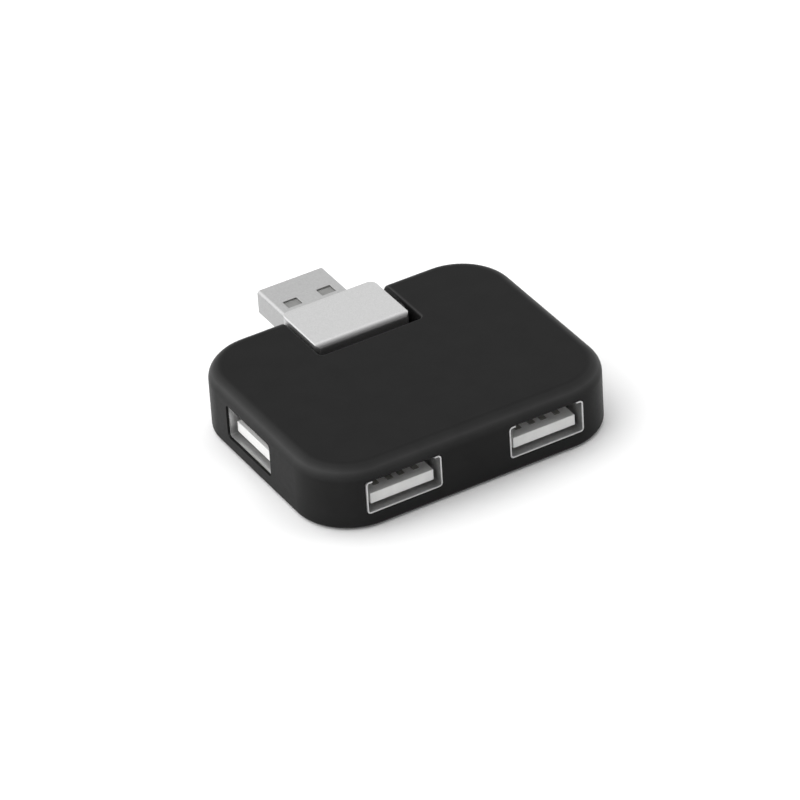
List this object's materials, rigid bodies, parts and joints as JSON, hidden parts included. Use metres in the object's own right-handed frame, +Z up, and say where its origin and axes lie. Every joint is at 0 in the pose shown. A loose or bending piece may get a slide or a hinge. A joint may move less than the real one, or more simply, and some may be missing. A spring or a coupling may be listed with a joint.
{
  "type": "usb hub",
  "caption": "Flat rounded USB hub with type A sockets in its front and side faces and a type A plug on a silver hinge block that folds up from a notch in the back.",
  "frame": {"origin": "middle of the case seen from above, on the underside", "axes": "+X right along the long side, +Y from the front sockets to the plug, +Z up"},
  "size_m": [0.0534, 0.0551, 0.0116],
  "materials": {
    "soft_touch_black": "matt soft-touch coating with a very fine grain",
    "silver_paint": "silver metallic paint with a fine sparkle",
    "plug_steel": "satin plated steel sheet",
    "socket_steel": "plated steel sheet",
    "white_plastic": "white moulded insulator",
    "contact_nickel": "nickel-plated contacts",
    "circuit_board": "green solder mask",
    "chip_black": "moulded epoxy",
    "tinned_leads": "tinned",
    "crystal_can": "drawn can",
    "capacitor_can": "satin can on a black base",
    "ceramic_chip": "matt",
    "fuse_green": "matt",
    "washer_nylon": "matt",
    "cable_jacket": "matt",
    "wire_insulation": "satin",
    "pin_steel": "turned",
    "sleeve_brass": "turned",
    "screw_steel": "blackened"
  },
  "bodies": {
    "case": {"top_shell": "soft_touch_black", "bottom_shell": "soft_touch_black", "case_screws": "screw_steel", "main_board": "circuit_board", "hub_controller": "chip_black", "controller_leads": "tinned_leads", "crystal": "crystal_can", "electrolytic_capacitor": "capacitor_can", "chip_capacitors": "ceramic_chip", "chip_resistors": "chip_black", "resettable_fuse": "fuse_green", "front_left_socket_shell": "socket_steel", "front_left_socket_tongue": "white_plastic", "front_left_socket_contacts": "contact_nickel", "front_right_socket_shell": "socket_steel", "front_right_socket_tongue": "white_plastic", "front_right_socket_contacts": "contact_nickel", "left_socket_shell": "socket_steel", "left_socket_tongue": "white_plastic", "left_socket_contacts": "contact_nickel", "right_socket_shell": "socket_steel", "right_socket_tongue": "white_plastic", "right_socket_contacts": "contact_nickel", "friction_washer": "washer_nylon", "case_cable": "cable_jacket"},
    "plug_block": {"hinge_block_cover": "silver_paint", "hinge_block_base": "silver_paint", "hinge_pin": "pin_steel", "hinge_sleeve": "sleeve_brass", "hinge_cable": "cable_jacket", "plug_wires": "wire_insulation", "plug_shell": "plug_steel", "plug_insulator": "white_plastic", "plug_contacts": "contact_nickel"}
  },
  "joints": [
    {"name": "plug_fold", "type": "hinge", "parent": "case", "child": "plug_block", "pos_m": [-0.00115, 0.0152, 0.0081], "axis": [1, 0, 0], "range_deg": [0, 90]}
  ]
}
